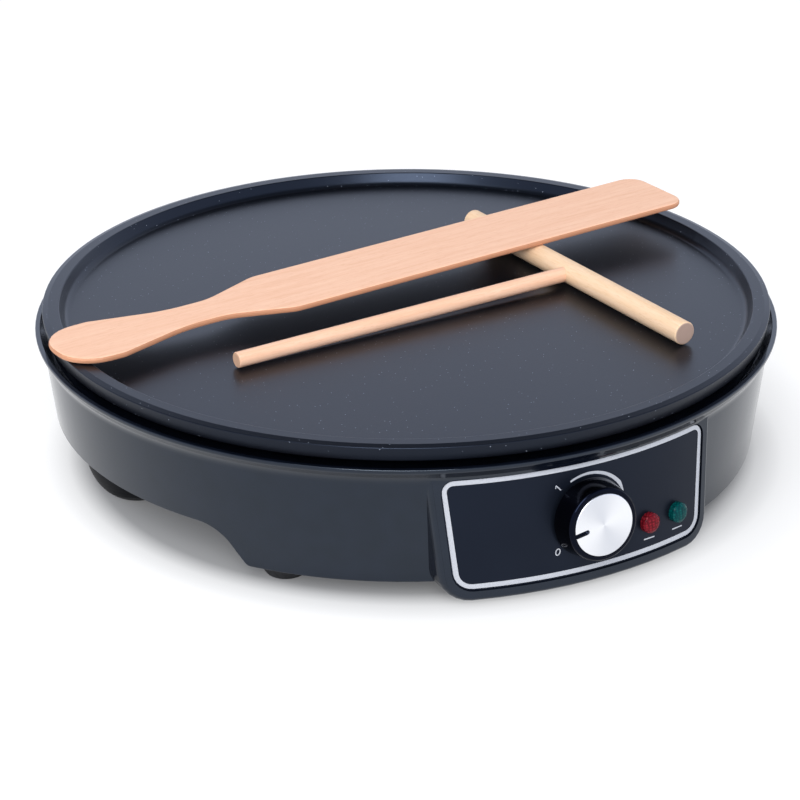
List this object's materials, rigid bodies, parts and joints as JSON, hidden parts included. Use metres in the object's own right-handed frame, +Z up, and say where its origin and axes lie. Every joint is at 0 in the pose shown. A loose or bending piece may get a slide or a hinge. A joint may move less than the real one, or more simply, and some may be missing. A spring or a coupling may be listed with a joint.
{
  "type": "electric crepe maker",
  "caption": "Round electric crepe griddle in a drum-shaped housing with a front thermostat knob and indicator lamps, with a wooden spatula and a T-shaped spreader lying on it.",
  "frame": {"origin": "middle of the whole footprint, on the surface that the feet stand on; the round drum's axis is 5 mm behind it", "axes": "+Z up; the control box and its knob face -Y; +X is to the right of someone who faces the knob"},
  "size_m": [0.3068, 0.317, 0.076],
  "materials": {
    "non_stick_coating": "black non-stick coating with fine metallic flecks, satin",
    "element_sheath": "drawn stainless sheath, heat tinted",
    "ceramic": "glazed steatite",
    "brass": "stamped brass",
    "zinc_steel": "zinc plated steel",
    "fibre_sleeve": "glass fibre sleeve",
    "aluminised_steel": "pressed aluminised steel",
    "gloss_black_plastic": "glossy black moulding",
    "matt_black_plastic": "matt black moulding",
    "rubber": "black rubber",
    "label_sheet": "satin printed sheet, near black",
    "silver_print": "silver print",
    "red_lens": "clear tinted red plastic",
    "green_lens": "clear tinted green plastic",
    "knob_plastic": "glossy black moulding",
    "spun_aluminium": "spun and lacquered aluminium",
    "wire_sleeve": "silicone sleeved wire",
    "birch": "turned birch dowel, bare",
    "beech": "sawn and sanded beech, bare"
  },
  "bodies": {
    "root": {"griddle_plate": "non_stick_coating", "heating_element": "element_sheath", "element_insulators": "ceramic", "element_terminals": "brass", "element_clips": "zinc_steel", "thermal_fuse": "fibre_sleeve", "fuse_clip": "zinc_steel", "heat_dish": "aluminised_steel", "plate_screws": "zinc_steel", "housing": "gloss_black_plastic", "base_cover": "matt_black_plastic", "base_screws": "zinc_steel", "side_legs": "matt_black_plastic", "corner_legs": "matt_black_plastic", "rubber_feet": "rubber", "label_plate": "label_sheet", "label_outline": "silver_print", "power_lens": "red_lens", "ready_lens": "green_lens", "lamp_bodies": "ceramic", "thermostat_body": "ceramic", "thermostat_bush": "brass", "thermostat_nut": "zinc_steel", "thermostat_bracket": "zinc_steel", "thermostat_terminals": "brass", "bracket_screws": "zinc_steel", "terminal_block": "ceramic", "inner_wires": "wire_sleeve", "cord_gland": "matt_black_plastic", "cord_gland_nut": "matt_black_plastic"},
    "knob": {"knob_shaft": "zinc_steel", "knob": "knob_plastic", "knob_cap": "spun_aluminium"},
    "spreader": {"spreader_bar": "birch", "spreader_handle": "birch"},
    "spatula": {"spatula": "beech"}
  },
  "joints": [
    {"name": "knob_turn", "type": "hinge", "parent": "root", "child": "knob", "pos_m": [0, -0.14608, 0.0301], "axis": [0, 0.9944, -0.1054], "range_deg": [-31, 173]},
    {"name": "spreader_lift", "type": "slide", "parent": "root", "child": "spreader", "axis": [0, 0, 1], "range_m": [0, 0.15]},
    {"name": "spatula_lift", "type": "slide", "parent": "spreader", "child": "spatula", "axis": [0, 0, 1], "range_m": [0, 0.15]}
  ]
}
